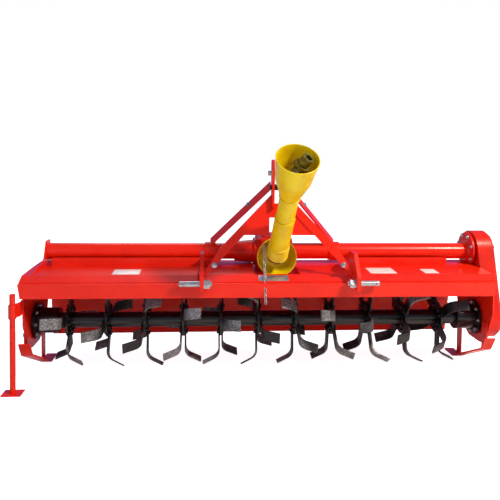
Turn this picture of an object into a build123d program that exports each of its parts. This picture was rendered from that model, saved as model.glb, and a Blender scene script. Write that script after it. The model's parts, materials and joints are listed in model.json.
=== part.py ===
"""Tractor-mounted rotary tiller (rotavator) with a side gear drive, in millimetres.

X runs across the machine, +X towards the side gear case. -Y points to the tractor and +Z up.
The floor is Z = 0, and the origin is the middle of the footprint.
"""
from build123d import *
import math
import os

os.makedirs("parts", exist_ok=True)

# ---- driving dimensions --------------------------------------------------------------------
# whole machine
hood_width = 2500.0  # beam, deck and trailing board
centre_x = -23.7  # middle of the beam, from the origin
rotor_y = 132.8  # rotor axis behind the origin
rotor_z = 290.0  # rotor axis above the floor
fit_gap = 0.8  # air left between curved faces that meet
shaft_gap = 0.5  # radial running clearance of a shaft in its bearing

# rotor
blade_radius = 245.0
rotor_tube_radius = 41.5
rotor_tube_wall = 8.0
flange_count = 11
flange_offset = -14.0  # the middle ring, from the middle of the beam
flange_pitch = 206.5
flange_radius = 92.0
flange_thickness = 12.0
blades_per_flange = 6
helix_step = 16.0  # each ring of blades lags the one before it by this angle
first_blade_angle = 41.0
blade_thickness = 8.0
blade_width = 56.0
blade_root_radius = 50.0
blade_bend_start = 168.0
blade_bend_radius = 52.0
blade_bend_angle = 64.0
hub_radius = 68.0
hub_length = 110.0
hub_disc_radius = 98.0
hub_disc_thickness = 14.0
stub_radius = 25.0

# side plates
plate_thickness = 8.0
left_plate_reach = 1232.0  # inner faces, from the middle of the beam
right_plate_reach = 1251.0
disc_to_plate = 6.0

# front beam
beam_front = 250.0  # its face, ahead of the rotor axis
beam_bottom = 182.0  # above the rotor axis
beam_height = 74.0
beam_wall = 6.0
beam_lip = 46.0
beam_end_slope = 12.0

# deck
deck_wall = 5.0
deck_front_setback = 20.0
deck_slope_length = 52.0
deck_slope_rise = 25.0
deck_flat_height = 293.0  # above the rotor axis
deck_rear = 185.0  # where the deck turns down, behind the rotor axis
hood_end_angle = 19.0  # where the hood ends, above the horizontal through the rotor axis

# ridge angle ahead of the cross tube
ridge_height = 40.0
ridge_front = 28.0  # behind the rotor axis
ridge_wall = 6.0
ridge_stretches = ((-1155.0, -245.0), (536.0, 1085.0))  # from the middle of the beam

# cross tube and gearbox
tube_radius = 46.0
tube_wall = 7.0
tube_behind = 115.0  # its axis, behind the rotor axis
tube_height = 360.0
input_rise = 7.0  # input shaft above the cross tube
hitch_offset = 77.0  # hitch, gearbox and drive shaft, right of the middle of the beam
gearbox_width = 194.0
gearbox_depth = 190.0
gearbox_below = 94.0
gearbox_above = 88.0
gearbox_flange_radius = 78.0
gearbox_flange_thickness = 14.0
bell_length = 110.0
bell_radius = 66.0
nose_radius = 62.0
nose_length = 58.0
lid_thickness = 12.0
well_half_width = 121.0  # tray under the gearbox: its inside
well_front = 165.0  # ahead of the rotor axis
well_rear = 214.0  # behind the rotor axis
well_floor = 262.0  # above the rotor axis
well_front_drop = 14.0

# side gear case
case_boss_length = 38.0  # cone that takes the end of the cross tube
case_boss_radius = 60.0
case_cone_radius = 84.0
tube_plate_reach = 1204.0  # outer face of the plate at the left end of the cross tube
case_width = 92.0
case_top_radius = 121.0
case_bottom_radius = 116.0
case_lid_thickness = 10.0
case_lid_inset = 14.0

# lower hitch
hitch_spread = 825.0  # between the shoulders of the lower pins, category 2
lower_pin_radius = 14.0
pin_shank_radius = 12.0
lower_pin_reach = 108.0
hitch_plate_thickness = 20.0
hitch_plate_front = 316.0  # ahead of the rotor axis
hitch_plate_top = 408.0  # above the rotor axis
hitch_plate_bottom = 230.0
hitch_plate_nose = 300.0  # top of its front edge
hitch_plate_shoulder = 236.0  # where the slope up from the nose ends
hitch_plate_rear = 150.0  # where its top edge starts to fall to the ridge
lower_pin_front = 281.0
lower_pin_height = 262.0
nut_radius = 24.0
nut_length = 32.0

# headstock
mast_plate_thickness = 12.0
mast_inner_gap = 60.0
mast_front = 190.0  # ahead of the rotor axis, at the top pin
mast_plate_width = 72.0
mast_bottom = 640.0  # above the rotor axis
mast_top = 897.0
top_pin_height = 826.0
top_pin_radius = 12.7
top_pin_reach = 20.0
spacer_height = 752.0
spacer_radius = 16.0
strut_wall = 8.0
headstock_lean = 5.5  # struts and web lean back
headstock_foot = 236.0  # ahead of the rotor axis, at the struts' lower corners
strut_low = (380.0, 295.0)  # corners: out from the hitch's middle, and above the rotor axis
strut_outer = (312.0, 432.0)
strut_tab_top = 312.0
strut_high = 712.0
strut_inner_high = 655.0
strut_flange = 42.0
rear_strut_width = 56.0
rear_strut_lift = 9.0
foot_width = 62.0
foot_wall = 8.0
web_lap = 12.0
shaft_notch_shift = 7.0
shaft_notch_half = 60.0
shaft_notch_height = 92.0
rear_strut_spread = 360.0
web_wall = 6.0
web_bottom = 502.0
web_top = 668.0

# drive shaft
shaft_rise_angle = 49.0  # parked, above the horizontal
cup_mouth_radius = 108.0
cup_base_radius = 86.0
cup_depth = 79.0
cup_wall = 4.0
cup_bore_radius = 48.0
joint_ahead_of_nose = 66.0
yoke_radius = 34.0
shield_radius = 52.0
shield_wall = 3.5
shield_bore_radius = 48.8
shaft_lean = 2.6  # to the right
inner_shaft_end = 560.0  # distances along the shaft from the inner joint's centre
shield_joint = 315.0
outer_shield_start = 95.0
outer_shaft_start = 290.0
outer_joint = 630.0
bell_profile = ((48.0, 470.0), (59.0, 502.0), (87.0, 586.0), (103.0, 720.0))  # radius, distance
outer_shield_radius = 48.0
inner_shaft_radius = 19.0
outer_shaft_radius = 26.0
joint_block = 15.0
trunnion_radius = 9.0
ear_inner = 27.0
ear_outer = 40.0
ear_half_width = 16.0
ear_reach = 50.0  # from a joint's centre to the yoke's hub
yoke_tilt = 27.0
yoke_length = 60.0
spline_bore_radius = 17.5

# parking stand
stand_radius = 14.0
stand_wall = 3.0
stand_x = 1265.0
stand_front = 273.0
stand_length = 498.0
stand_foot_width = 97.0
stand_foot_length = 76.0
stand_foot_thickness = 5.0
sleeve_wall = 5.0
sleeve_height = 69.0
sleeve_above_floor = 381.0
stand_sleeve_gap = 0.8

# skids
skid_width = 58.0
skid_thickness = 8.0
skid_toe = (-244.0, 236.0)  # side view: behind the rotor axis, and above the floor
skid_nose = (-198.0, 164.0)
skid_heel = (150.0, 0.0)
skid_tail = (264.0, 0.0)
post_width = 50.0

# trailing board
board_wall = 4.0
board_drop = 280.0
board_lean = 10.0
hinge_offsets = (-960.0, -320.0, 320.0, 960.0)
board_end_gap = 6.0
hinge_radius = 11.0
hinge_pin_radius = 6.0
knuckle_length = 70.0

# ---- places worked out from the sizes above -------------------------------------------------
beam_face_y = rotor_y - beam_front
beam_bottom_z = rotor_z + beam_bottom
beam_top_z = beam_bottom_z + beam_height
deck_top_z = rotor_z + deck_flat_height
deck_rear_y = rotor_y + deck_rear
hood_outer_radius = math.hypot(deck_rear, deck_flat_height)
hood_inner_radius = hood_outer_radius - deck_wall
tube_y = rotor_y + tube_behind
tube_z = rotor_z + tube_height
input_z = tube_z + input_rise
hitch_x = centre_x + hitch_offset
plate_left_x = centre_x - left_plate_reach
plate_right_x = centre_x + right_plate_reach
half_gearbox = gearbox_width / 2 + gearbox_flange_thickness


def rotor_point(angle, radius):
    """A point in the YZ plane at an angle above the horizontal behind the rotor axis."""
    return (
        rotor_y + radius * math.cos(math.radians(angle)),
        rotor_z + radius * math.sin(math.radians(angle)),
    )


# ---- front beam: a folded channel whose ends slope inwards ----------------------------------
with BuildPart() as front_beam:
    with BuildSketch(Plane.YZ.offset(centre_x)):
        with BuildLine():
            Polyline(
                (beam_face_y, beam_bottom_z),
                (beam_face_y, beam_top_z),
                (beam_face_y + beam_lip, beam_top_z),
                (beam_face_y + beam_lip, beam_top_z - beam_wall),
                (beam_face_y + beam_wall, beam_top_z - beam_wall),
                (beam_face_y + beam_wall, beam_bottom_z + beam_wall),
                (beam_face_y + beam_lip, beam_bottom_z + beam_wall),
                (beam_face_y + beam_lip, beam_bottom_z),
                close=True,
            )
        make_face()
    extrude(amount=hood_width / 2, both=True)
    with BuildSketch(Plane.XZ.offset(-beam_face_y - beam_lip)):
        with BuildLine():
            Polyline(
                (centre_x - hood_width / 2 + beam_end_slope, beam_bottom_z),
                (centre_x - hood_width / 2, beam_top_z),
                (centre_x + hood_width / 2, beam_top_z),
                (centre_x + hood_width / 2 - beam_end_slope, beam_bottom_z),
                close=True,
            )
        make_face()
    extrude(amount=beam_lip, mode=Mode.INTERSECT)

# ---- deck: sheet that slopes up from the beam, runs flat, and turns down behind the rotor ----
deck_front_y = beam_face_y + deck_front_setback
slope_end_y = deck_front_y + deck_slope_length
slope_end_z = beam_top_z + deck_wall + deck_slope_rise
hood_end_angle_start = math.degrees(math.atan2(deck_flat_height, deck_rear))
hood_mid_angle = (hood_end_angle + hood_end_angle_start) / 2
deck_width = hood_width / 2 + right_plate_reach + plate_thickness
with BuildPart() as hood_deck:
    with BuildSketch(Plane.YZ.offset(centre_x - hood_width / 2)):
        with BuildLine():
            Polyline(
                (deck_front_y, beam_top_z),
                (deck_front_y, beam_top_z + deck_wall),
                (slope_end_y, slope_end_z),
                (rotor_y + ridge_front, deck_top_z),
                (deck_rear_y, deck_top_z),
            )
            ThreePointArc(
                (deck_rear_y, deck_top_z),
                rotor_point(hood_mid_angle, hood_outer_radius),
                rotor_point(hood_end_angle, hood_outer_radius),
            )
            Line(
                rotor_point(hood_end_angle, hood_outer_radius),
                rotor_point(hood_end_angle, hood_inner_radius),
            )
            ThreePointArc(
                rotor_point(hood_end_angle, hood_inner_radius),
                rotor_point(hood_mid_angle, hood_inner_radius),
                rotor_point(hood_end_angle_start, hood_inner_radius),
            )
            Polyline(
                rotor_point(hood_end_angle_start, hood_inner_radius),
                (rotor_y + ridge_front, deck_top_z - deck_wall),
                (slope_end_y, slope_end_z - deck_wall),
                (deck_front_y, beam_top_z),
            )
        make_face()
    extrude(amount=deck_width)
    with BuildSketch(Plane.XY.offset(rotor_z + well_floor)):
        with Locations((hitch_x, rotor_y + (well_rear - well_front) / 2)):
            Rectangle(2 * well_half_width, well_front + well_rear)
    extrude(amount=deck_flat_height, mode=Mode.SUBTRACT)

# ---- well: the tray under the gearbox and its guard cup ---------------------------------------
well_wall = deck_wall
with BuildPart() as gearbox_well:
    with BuildSketch(Plane.YZ.offset(hitch_x - well_half_width)):
        with BuildLine():
            Polyline(
                (rotor_y - well_front, rotor_z + well_floor - well_front_drop),
                (rotor_y - well_front, slope_end_z - deck_wall),
                (rotor_y - well_front - well_wall, slope_end_z - deck_wall),
                (rotor_y - well_front - well_wall, rotor_z + well_floor - well_front_drop - well_wall),
                (rotor_y - 30, rotor_z + well_floor - well_wall),
                (rotor_y + well_rear, rotor_z + well_floor - well_wall),
                (rotor_y + well_rear, rotor_z + well_floor),
                (rotor_y - 30, rotor_z + well_floor),
                close=True,
            )
        make_face()
    extrude(amount=2 * well_half_width)
    for start_x in (hitch_x - well_half_width - well_wall, hitch_x + well_half_width):
        with BuildSketch(Plane.YZ.offset(start_x)):
            with BuildLine():
                Polyline(
                    (rotor_y - well_front - well_wall, rotor_z + well_floor - well_front_drop - well_wall),
                    (rotor_y - well_front - well_wall, slope_end_z - deck_wall),
                    (rotor_y + ridge_front, deck_top_z - deck_wall),
                    (deck_rear_y - 4, deck_top_z - deck_wall),
                    (rotor_y + well_rear, rotor_z + well_floor - well_wall),
                    (rotor_y - 30, rotor_z + well_floor - well_wall),
                    close=True,
                )
            make_face()
        extrude(amount=well_wall)

# ---- side plates: shields that close the hood's ends ----------------------------------------
plate_outline = (
    (beam_face_y + beam_lip, beam_bottom_z),
    (rotor_y - 203, rotor_z + 73),
    (rotor_y - 168, rotor_z - 19),
    (rotor_y - 145, rotor_z - 76),
    (rotor_y - 110, rotor_z - 118),
    (rotor_y - 60, rotor_z - 130),
    (rotor_y + 65, rotor_z - 130),
    (rotor_y + 150, rotor_z - 86),
    (rotor_y + 214, rotor_z - 10),
    (rotor_y + 255, rotor_z + 110),
    rotor_point(hood_end_angle + 1, hood_inner_radius - 1),
    rotor_point(hood_mid_angle, hood_inner_radius - 1),
    (deck_rear_y - 2 * deck_wall, deck_top_z - deck_wall),
    (rotor_y + ridge_front, deck_top_z - deck_wall),
    (slope_end_y, slope_end_z - deck_wall),
    (beam_face_y + beam_lip, beam_top_z + deck_wall),
)
side_plates = {}
for side, plate_start_x in (
    ("left", plate_left_x - plate_thickness),
    ("right", plate_right_x),
):
    with BuildPart() as plate:
        with BuildSketch(Plane.YZ.offset(plate_start_x)):
            with BuildLine():
                Polyline(*plate_outline, close=True)
            make_face()
        extrude(amount=plate_thickness)
        with BuildSketch(Plane.YZ.offset(plate_start_x)):
            with Locations((rotor_y, rotor_z)):
                Circle(stub_radius + 12)
        extrude(amount=plate_thickness, mode=Mode.SUBTRACT)
    side_plates[side] = plate

# ---- cross tube, in two lengths each side of the gearbox ------------------------------------
left_tube_start = centre_x - tube_plate_reach + plate_thickness
left_tube_end = hitch_x - half_gearbox - bell_length
right_tube_start = hitch_x + half_gearbox
right_tube_end = plate_right_x + plate_thickness - case_boss_length
cross_tubes = {}
for side, start_x, end_x in (
    ("left", left_tube_start, left_tube_end),
    ("right", right_tube_start, right_tube_end),
):
    with BuildPart() as tube:
        with BuildSketch(Plane.YZ.offset(start_x)):
            with Locations((tube_y, tube_z)):
                Circle(tube_radius)
                Circle(tube_radius - tube_wall, mode=Mode.SUBTRACT)
        extrude(amount=end_x - start_x)
    cross_tubes[side] = tube

# ---- ridge angle along the deck, ahead of the tube -------------------------------------------
ridge_y = rotor_y + ridge_front
ridge_top_z = deck_top_z + ridge_height
foot_radius = tube_radius + foot_wall
ridge_back_y = tube_y - math.sqrt(foot_radius**2 - (tube_z - ridge_top_z) ** 2) - 1.0
hitch_plate_reach = hitch_spread / 2 - hitch_plate_thickness
with BuildPart() as ridge_angle:
    for ridge_start, ridge_end in ridge_stretches:
        with BuildSketch(Plane.YZ.offset(centre_x + ridge_start)):
            with BuildLine():
                Polyline(
                    (ridge_y, deck_top_z),
                    (ridge_y, ridge_top_z),
                    (ridge_back_y, ridge_top_z),
                    (ridge_back_y, ridge_top_z - ridge_wall),
                    (ridge_y + ridge_wall, ridge_top_z - ridge_wall),
                    (ridge_y + ridge_wall, deck_top_z),
                    close=True,
                )
            make_face()
        extrude(amount=ridge_end - ridge_start)

# ---- gearbox: housing with side flanges, input nose and lid -----------------------------------
nose_y = tube_y - gearbox_depth / 2 - nose_length
with BuildPart() as gearbox:
    with BuildSketch(Plane.XY.offset(tube_z - gearbox_below)):
        with Locations((hitch_x, tube_y)):
            Rectangle(gearbox_width, gearbox_depth)
    extrude(amount=gearbox_below + gearbox_above)
    chamfer(gearbox.edges().filter_by(Axis.Z), length=26)
    chamfer(gearbox.faces().sort_by(Axis.Z)[-1].edges(), length=10)
    with BuildSketch(Plane.YZ.offset(hitch_x - half_gearbox)):
        with Locations((tube_y, tube_z)):
            Circle(gearbox_flange_radius)
    extrude(amount=2 * half_gearbox)
    with BuildSketch(Plane.YZ.offset(hitch_x - half_gearbox)):
        with Locations((tube_y, tube_z)):
            Circle(bell_radius)
    with BuildSketch(Plane.YZ.offset(hitch_x - half_gearbox - bell_length)):
        with Locations((tube_y, tube_z)):
            Circle(tube_radius + 10)
    loft()
    with BuildSketch(Plane.XZ.offset(-tube_y)):
        with Locations((hitch_x, input_z)):
            Circle(nose_radius)
    extrude(amount=tube_y - nose_y)

with BuildPart() as gearbox_lid:
    with BuildSketch(Plane.XY.offset(tube_z + gearbox_above)):
        with Locations((hitch_x, tube_y)):
            RectangleRounded(gearbox_width - 60, gearbox_depth - 50, 20)
    extrude(amount=lid_thickness)

# ---- input guard cup ---------------------------------------------------------------------------
input_plane = Plane(
    origin=(hitch_x, nose_y, input_z), x_dir=(1, 0, 0), z_dir=(0, -1, 0)
)
with BuildPart() as guard_cup:
    with BuildSketch(
        Plane(origin=input_plane.origin, x_dir=(1, 0, 0), z_dir=(0, 0, 1))
    ):
        with BuildLine():
            Polyline(
                (cup_bore_radius, 0),
                (cup_base_radius - 14, 0),
                (cup_base_radius, -12),
                (cup_mouth_radius, -cup_depth),
                (cup_mouth_radius - cup_wall, -cup_depth),
                (cup_base_radius - cup_wall, -12 - cup_wall),
                (cup_base_radius - 14 - cup_wall, -cup_wall),
                (cup_bore_radius, -cup_wall),
                close=True,
            )
        make_face()
    revolve(axis=Axis(input_plane.origin, (0, 1, 0)))

# ---- side gear case and its lid ----------------------------------------------------------------
case_inner_x = plate_right_x + plate_thickness
case_span = math.hypot(tube_y - rotor_y, tube_z - rotor_z)
with BuildPart() as gear_case:
    with BuildSketch(Plane.YZ.offset(case_inner_x)):
        with Locations((tube_y, tube_z)):
            Circle(case_top_radius)
        with Locations((rotor_y, rotor_z)):
            Circle(case_bottom_radius)
        make_hull()
    extrude(amount=case_width)
    chamfer(gear_case.faces().sort_by(Axis.X)[-1].edges(), length=8)
    with BuildSketch(Plane.YZ.offset(case_inner_x)):
        with Locations((tube_y, tube_z)):
            Circle(case_cone_radius)
    with BuildSketch(Plane.YZ.offset(case_inner_x - case_boss_length)):
        with Locations((tube_y, tube_z)):
            Circle(case_boss_radius)
    loft()
    with BuildSketch(Plane.XY.offset(deck_top_z)):
        with Locations((case_inner_x - case_boss_length / 2, tube_y)):
            Rectangle(case_boss_length, 3 * case_top_radius)
    extrude(amount=-case_top_radius, mode=Mode.SUBTRACT)
    with BuildSketch(Plane.YZ.offset(case_inner_x)):
        with Locations((rotor_y, rotor_z)):
            Circle(stub_radius + shaft_gap)
    extrude(amount=40, mode=Mode.SUBTRACT)

with BuildPart() as gear_case_lid:
    with BuildSketch(Plane.YZ.offset(case_inner_x + case_width)):
        with Locations((tube_y, tube_z)):
            Circle(case_top_radius - case_lid_inset)
        with Locations((rotor_y, rotor_z)):
            Circle(case_bottom_radius - case_lid_inset)
        make_hull()
    extrude(amount=case_lid_thickness)

# ---- left bearing housing, on the outside of the left plate ------------------------------------
bearing_depth = 46.0
bearing_x = plate_left_x - plate_thickness
with BuildPart() as bearing_housing:
    with BuildSketch(Plane.YZ.offset(bearing_x)):
        with Locations((rotor_y, rotor_z)):
            Circle(hub_disc_radius - 10)
    extrude(amount=-12)
    with BuildSketch(Plane.YZ.offset(bearing_x - 12)):
        with Locations((rotor_y, rotor_z)):
            Circle(hub_radius)
    extrude(amount=-(bearing_depth - 12))
    chamfer(bearing_housing.faces().sort_by(Axis.X)[0].edges(), length=7)
    with BuildSketch(Plane.YZ.offset(bearing_x)):
        with Locations((rotor_y, rotor_z)):
            Circle(stub_radius + shaft_gap)
    extrude(amount=-(bearing_depth - 8), mode=Mode.SUBTRACT)

# ---- lower hitch plates with their pins ---------------------------------------------------------
pin_y = rotor_y - lower_pin_front
pin_z = rotor_z + lower_pin_height
hitch_plates = {}
lower_pins = {}
for side, sign in (("left", -1), ("right", 1)):
    shoulder_x = hitch_x + sign * hitch_spread / 2
    with BuildPart() as lug:
        with BuildSketch(Plane.YZ.offset(shoulder_x)):
            with BuildLine():
                Polyline(
                    (rotor_y - hitch_plate_front, rotor_z + hitch_plate_bottom),
                    (rotor_y - hitch_plate_front, rotor_z + hitch_plate_nose),
                    (rotor_y - hitch_plate_shoulder, rotor_z + hitch_plate_top),
                    (rotor_y - hitch_plate_rear, rotor_z + hitch_plate_top),
                    (rotor_y + ridge_front, ridge_top_z),
                    (rotor_y + ridge_front, deck_top_z),
                    (slope_end_y, slope_end_z),
                    (deck_front_y, beam_top_z + deck_wall),
                    (deck_front_y, beam_top_z),
                    (beam_face_y, beam_top_z),
                    (beam_face_y, rotor_z + hitch_plate_bottom),
                    close=True,
                )
            make_face()
        extrude(amount=-sign * hitch_plate_thickness)
        with BuildSketch(Plane.YZ.offset(shoulder_x)):
            with Locations((pin_y, pin_z)):
                Circle(pin_shank_radius + shaft_gap)
        extrude(amount=-sign * hitch_plate_thickness, mode=Mode.SUBTRACT)
    hitch_plates[side] = lug
    with BuildPart() as pin:
        with BuildSketch(Plane.YZ.offset(shoulder_x)):
            with Locations((pin_y, pin_z)):
                Circle(lower_pin_radius)
        extrude(amount=sign * lower_pin_reach)
        chamfer(pin.edges().sort_by(Axis.X)[-1 if sign > 0 else 0], length=5)
        with BuildSketch(Plane.YZ.offset(shoulder_x)):
            with Locations((pin_y, pin_z)):
                Circle(pin_shank_radius)
        extrude(amount=-sign * (hitch_plate_thickness + nut_length + 10))
        with BuildSketch(
            Plane.YZ.offset(shoulder_x - sign * hitch_plate_thickness)
        ):
            with Locations((pin_y, pin_z)):
                RegularPolygon(nut_radius, 6)
        extrude(amount=-sign * nut_length)
        with BuildSketch(Plane.XZ.offset(-pin_y)):
            with Locations((shoulder_x + sign * (lower_pin_reach - 22), pin_z)):
                Circle(5.5)
        extrude(amount=2 * lower_pin_radius, both=True, mode=Mode.SUBTRACT)
    lower_pins[side] = pin

# ---- headstock: two mast plates, struts and web -------------------------------------------------
mast_y = rotor_y - mast_front
mast_bottom_z = rotor_z + mast_bottom
mast_top_z = rotor_z + mast_top
top_pin_z = rotor_z + top_pin_height
spacer_z = rotor_z + spacer_height
mast_outer = mast_inner_gap / 2 + mast_plate_thickness
mast_plates = {}
for side, start_x in (
    ("left", hitch_x - mast_outer),
    ("right", hitch_x + mast_inner_gap / 2),
):
    with BuildPart() as mast_plate:
        with BuildSketch(Plane.YZ.offset(start_x)):
            with Locations((mast_y, (mast_bottom_z + mast_top_z) / 2)):
                RectangleRounded(mast_plate_width, mast_top_z - mast_bottom_z, 20)
            with Locations((mast_y, top_pin_z), (mast_y, spacer_z)):
                Circle(top_pin_radius + shaft_gap, mode=Mode.SUBTRACT)
        extrude(amount=mast_plate_thickness)
    mast_plates[side] = mast_plate

with BuildPart() as top_link_pin:
    with BuildSketch(Plane.YZ.offset(hitch_x - mast_outer - top_pin_reach)):
        with Locations((mast_y, top_pin_z)):
            Circle(top_pin_radius)
    extrude(amount=2 * (mast_outer + top_pin_reach))

with BuildPart() as mast_spacer:
    with BuildSketch(Plane.YZ.offset(hitch_x - mast_inner_gap / 2)):
        with Locations((mast_y, spacer_z)):
            Circle(spacer_radius)
    extrude(amount=mast_inner_gap)
    with BuildSketch(Plane.YZ.offset(hitch_x - mast_outer - 12)):
        with Locations((mast_y, spacer_z)):
            Circle(top_pin_radius)
    extrude(amount=2 * (mast_outer + 12))


def bar_plane(low, high, facing):
    """A plane at the middle of a bar: local X along the bar, local Z as near facing as it can."""
    low, high, facing = Vector(*low), Vector(*high), Vector(*facing)
    along = (high - low).normalized()
    normal = (facing - along * facing.dot(along)).normalized()
    return Plane(origin=(low + high) / 2, x_dir=along, z_dir=normal), (high - low).length


lean = math.radians(headstock_lean)
foot_z = strut_low[1]
headstock_plane = Plane(
    origin=(hitch_x, rotor_y - headstock_foot, rotor_z + foot_z),
    x_dir=(1, 0, 0),
    z_dir=(0, -math.cos(lean), math.sin(lean)),
)


def up_lean(height):
    """A height above the rotor axis, as a distance up the leaning headstock plane."""
    return (height - foot_z) / math.cos(lean)


mast_side = mast_outer + fit_gap
mast_back = mast_y + mast_plate_width / 2
front_struts = {}
rear_struts = {}
for side, sign in (("left", -1), ("right", 1)):
    with BuildPart() as front_strut:
        with BuildSketch(headstock_plane):
            with BuildLine():
                Polyline(
                    (sign * strut_low[0], 0),
                    (sign * hitch_plate_reach, 0),
                    (sign * hitch_plate_reach, up_lean(strut_tab_top)),
                    (sign * strut_outer[0], up_lean(strut_outer[1])),
                    (sign * mast_side, up_lean(strut_high)),
                    (sign * mast_side, up_lean(strut_inner_high)),
                    close=True,
                )
            make_face()
        extrude(amount=-strut_wall)
        edge_x = strut_outer[0] - mast_side
        edge_up = up_lean(strut_high) - up_lean(strut_outer[1])
        edge_length = math.hypot(edge_x, edge_up)
        inset_x = sign * strut_wall * edge_up / edge_length
        inset_up = strut_wall * edge_x / edge_length
        with BuildSketch(headstock_plane.offset(-strut_wall)):
            with BuildLine():
                Polyline(
                    (sign * strut_outer[0], up_lean(strut_outer[1])),
                    (sign * mast_side, up_lean(strut_high)),
                    (sign * mast_side, up_lean(strut_high) - 2 * inset_up),
                    (
                        sign * strut_outer[0] - inset_x,
                        up_lean(strut_outer[1]) - inset_up,
                    ),
                    close=True,
                )
            make_face()
        extrude(amount=-(strut_flange - strut_wall))
    front_struts[side] = front_strut
    rear_low = (
        hitch_x + sign * rear_strut_spread,
        tube_y - 10,
        tube_z + tube_radius + rear_strut_lift,
    )
    rear_high = (hitch_x + sign * mast_outer, mast_y + 36, top_pin_z - 60)
    strut_plane, strut_length = bar_plane(rear_low, rear_high, (0, -0.6, 0.8))
    with BuildPart() as rear_strut:
        with BuildSketch(strut_plane):
            Rectangle(strut_length, rear_strut_width)
        extrude(amount=-strut_wall)
        with BuildSketch(Plane.YZ.offset(rear_low[0])):
            with Locations((tube_y, tube_z)):
                Circle(foot_radius + fit_gap)
        extrude(amount=2 * foot_width, both=True, mode=Mode.SUBTRACT)
        with BuildSketch(Plane.XY.offset(mast_bottom_z)):
            with Locations((hitch_x, mast_y)):
                Rectangle(2 * mast_side, 4 * mast_plate_width)
        extrude(amount=mast_top, mode=Mode.SUBTRACT)
    rear_struts[side] = rear_strut

with BuildPart() as headstock_web:
    with BuildSketch(headstock_plane.offset(-strut_wall)):
        with BuildLine():
            low_width = strut_low[0] - (strut_low[0] - mast_side) * (
                (web_bottom - foot_z) / (strut_inner_high - foot_z)
            )
            Polyline(
                (-low_width - web_lap, up_lean(web_bottom)),
                (low_width + web_lap, up_lean(web_bottom)),
                (mast_side, up_lean(web_top)),
                (-mast_side, up_lean(web_top)),
                close=True,
            )
        make_face()
        with Locations((shaft_notch_shift, up_lean(web_bottom))):
            Rectangle(2 * shaft_notch_half, 2 * shaft_notch_height, mode=Mode.SUBTRACT)
    extrude(amount=-web_wall)
    for sign in (-1, 1):
        with BuildSketch(Plane.XY.offset(mast_bottom_z)):
            with Locations((hitch_x + sign * (mast_outer - mast_plate_thickness / 2), mast_y)):
                Rectangle(mast_plate_thickness, mast_plate_width)
        extrude(amount=web_top, mode=Mode.SUBTRACT)

# ---- feet that carry the rear struts on the cross tube ----------------------------------------
with BuildPart() as strut_feet:
    for sign in (-1, 1):
        with BuildSketch(Plane.YZ.offset(hitch_x + sign * rear_strut_spread - foot_width / 2)):
            with Locations((tube_y, tube_z)):
                Circle(foot_radius)
                Circle(tube_radius, mode=Mode.SUBTRACT)
        extrude(amount=foot_width)

# ---- plate at the left end of the cross tube, and the brace at its right end ------------------
with BuildPart() as tube_end_plate:
    with BuildSketch(Plane.YZ.offset(centre_x - tube_plate_reach)):
        with BuildLine():
            Polyline(
                (slope_end_y, slope_end_z + fit_gap),
                (rotor_y - 86, slope_end_z + 22),
                (rotor_y - 2, slope_end_z + 30),
                (rotor_y + 40, rotor_z + 330),
                (rotor_y + 84, rotor_z + 422),
                (rotor_y + 148, rotor_z + 422),
                (rotor_y + 182, rotor_z + 340),
                (rotor_y + 182, deck_top_z),
                (rotor_y + ridge_front, deck_top_z),
                close=True,
            )
        make_face()
    extrude(amount=plate_thickness)

# ---- parking stand with its sleeve bracket -------------------------------------------------------
stand_centre_x = centre_x - stand_x
stand_y = rotor_y - stand_front
sleeve_radius = stand_radius + stand_sleeve_gap + sleeve_wall
with BuildPart() as stand_bracket:
    with BuildSketch(Plane.XY.offset(sleeve_above_floor)):
        with Locations((stand_centre_x, stand_y)):
            Circle(sleeve_radius)
        with BuildLine():
            Polyline(
                (stand_centre_x, stand_y - 6),
                (bearing_x, stand_y + 40),
                (bearing_x, stand_y + 118),
                (bearing_x - 8, stand_y + 118),
                (bearing_x - 8, stand_y + 52),
                (stand_centre_x, stand_y + 12),
                close=True,
            )
        make_face()
        with Locations((stand_centre_x, stand_y)):
            Circle(stand_radius + stand_sleeve_gap, mode=Mode.SUBTRACT)
    extrude(amount=sleeve_height)

with BuildPart() as parking_stand:
    with BuildSketch(Plane.XY.offset(stand_foot_thickness)):
        with Locations((stand_centre_x, stand_y)):
            Circle(stand_radius)
            Circle(stand_radius - stand_wall, mode=Mode.SUBTRACT)
    extrude(amount=stand_length)
    with BuildSketch(Plane.XY):
        with Locations((stand_centre_x, stand_y)):
            Rectangle(stand_foot_width, stand_foot_length)
    extrude(amount=stand_foot_thickness)

# ---- skids ----------------------------------------------------------------------------------------
skid_slope = (skid_nose[1] - skid_heel[1]) / (skid_heel[0] - skid_nose[0])
post_rows = (
    ("front", -156.0, -104.0, 6.0),
    ("rear", 152.0, 204.0, -16.0),
)


def post_foot(post_y):
    """Where a post stands on its runner, above the floor."""
    return skid_thickness / 2 + max(0, skid_slope * (skid_heel[0] - post_y))


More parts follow.
